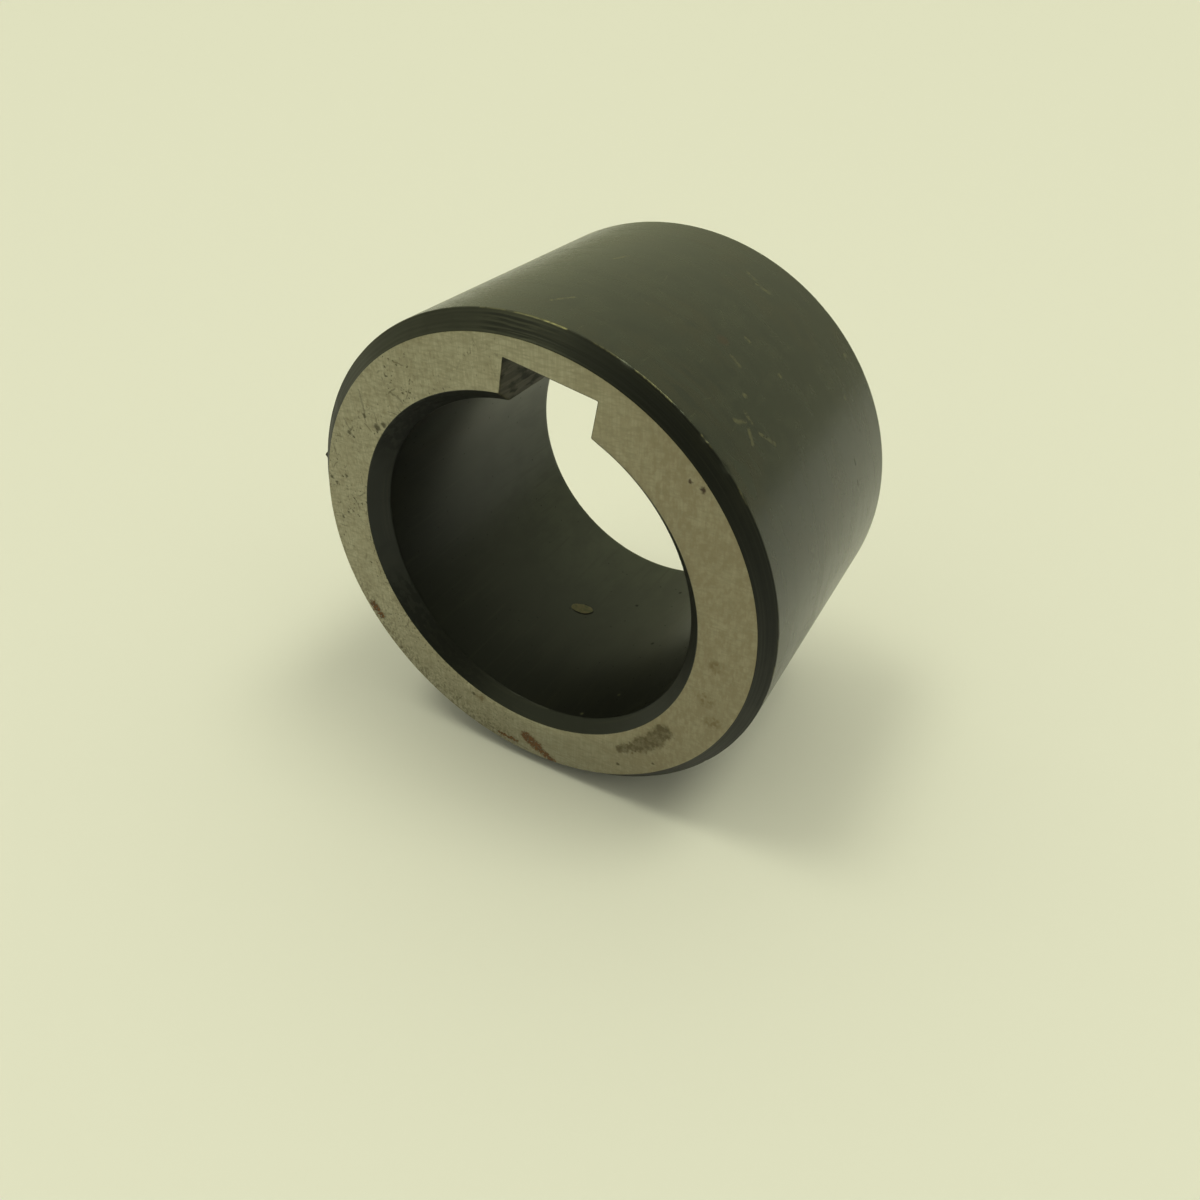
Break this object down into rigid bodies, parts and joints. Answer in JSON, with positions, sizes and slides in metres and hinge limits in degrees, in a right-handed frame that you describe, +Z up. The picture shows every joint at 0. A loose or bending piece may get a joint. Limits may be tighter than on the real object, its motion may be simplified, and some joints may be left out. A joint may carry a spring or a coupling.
{
  "type": "keyed shaft collar",
  "caption": "Plain round steel spacer collar with a bored centre, chamfered edges and a square keyway cut the full length of the bore.",
  "frame": {"origin": "centre of the bore at mid-length", "axes": "+Y along the bore's axis from the front face to the rear face; +Z up, with the collar lying on its side on its outer wall; the keyway has rolled 11.25 degrees from +Z towards +X"},
  "size_m": [0.0556, 0.036, 0.0556],
  "materials": {
    "blackened_steel": "turned steel with a satin black oxide finish; worn bright along the outer chamfer's edge"
  },
  "bodies": {
    "root": {"collar_ring": "blackened_steel"}
  },
  "joints": []
}
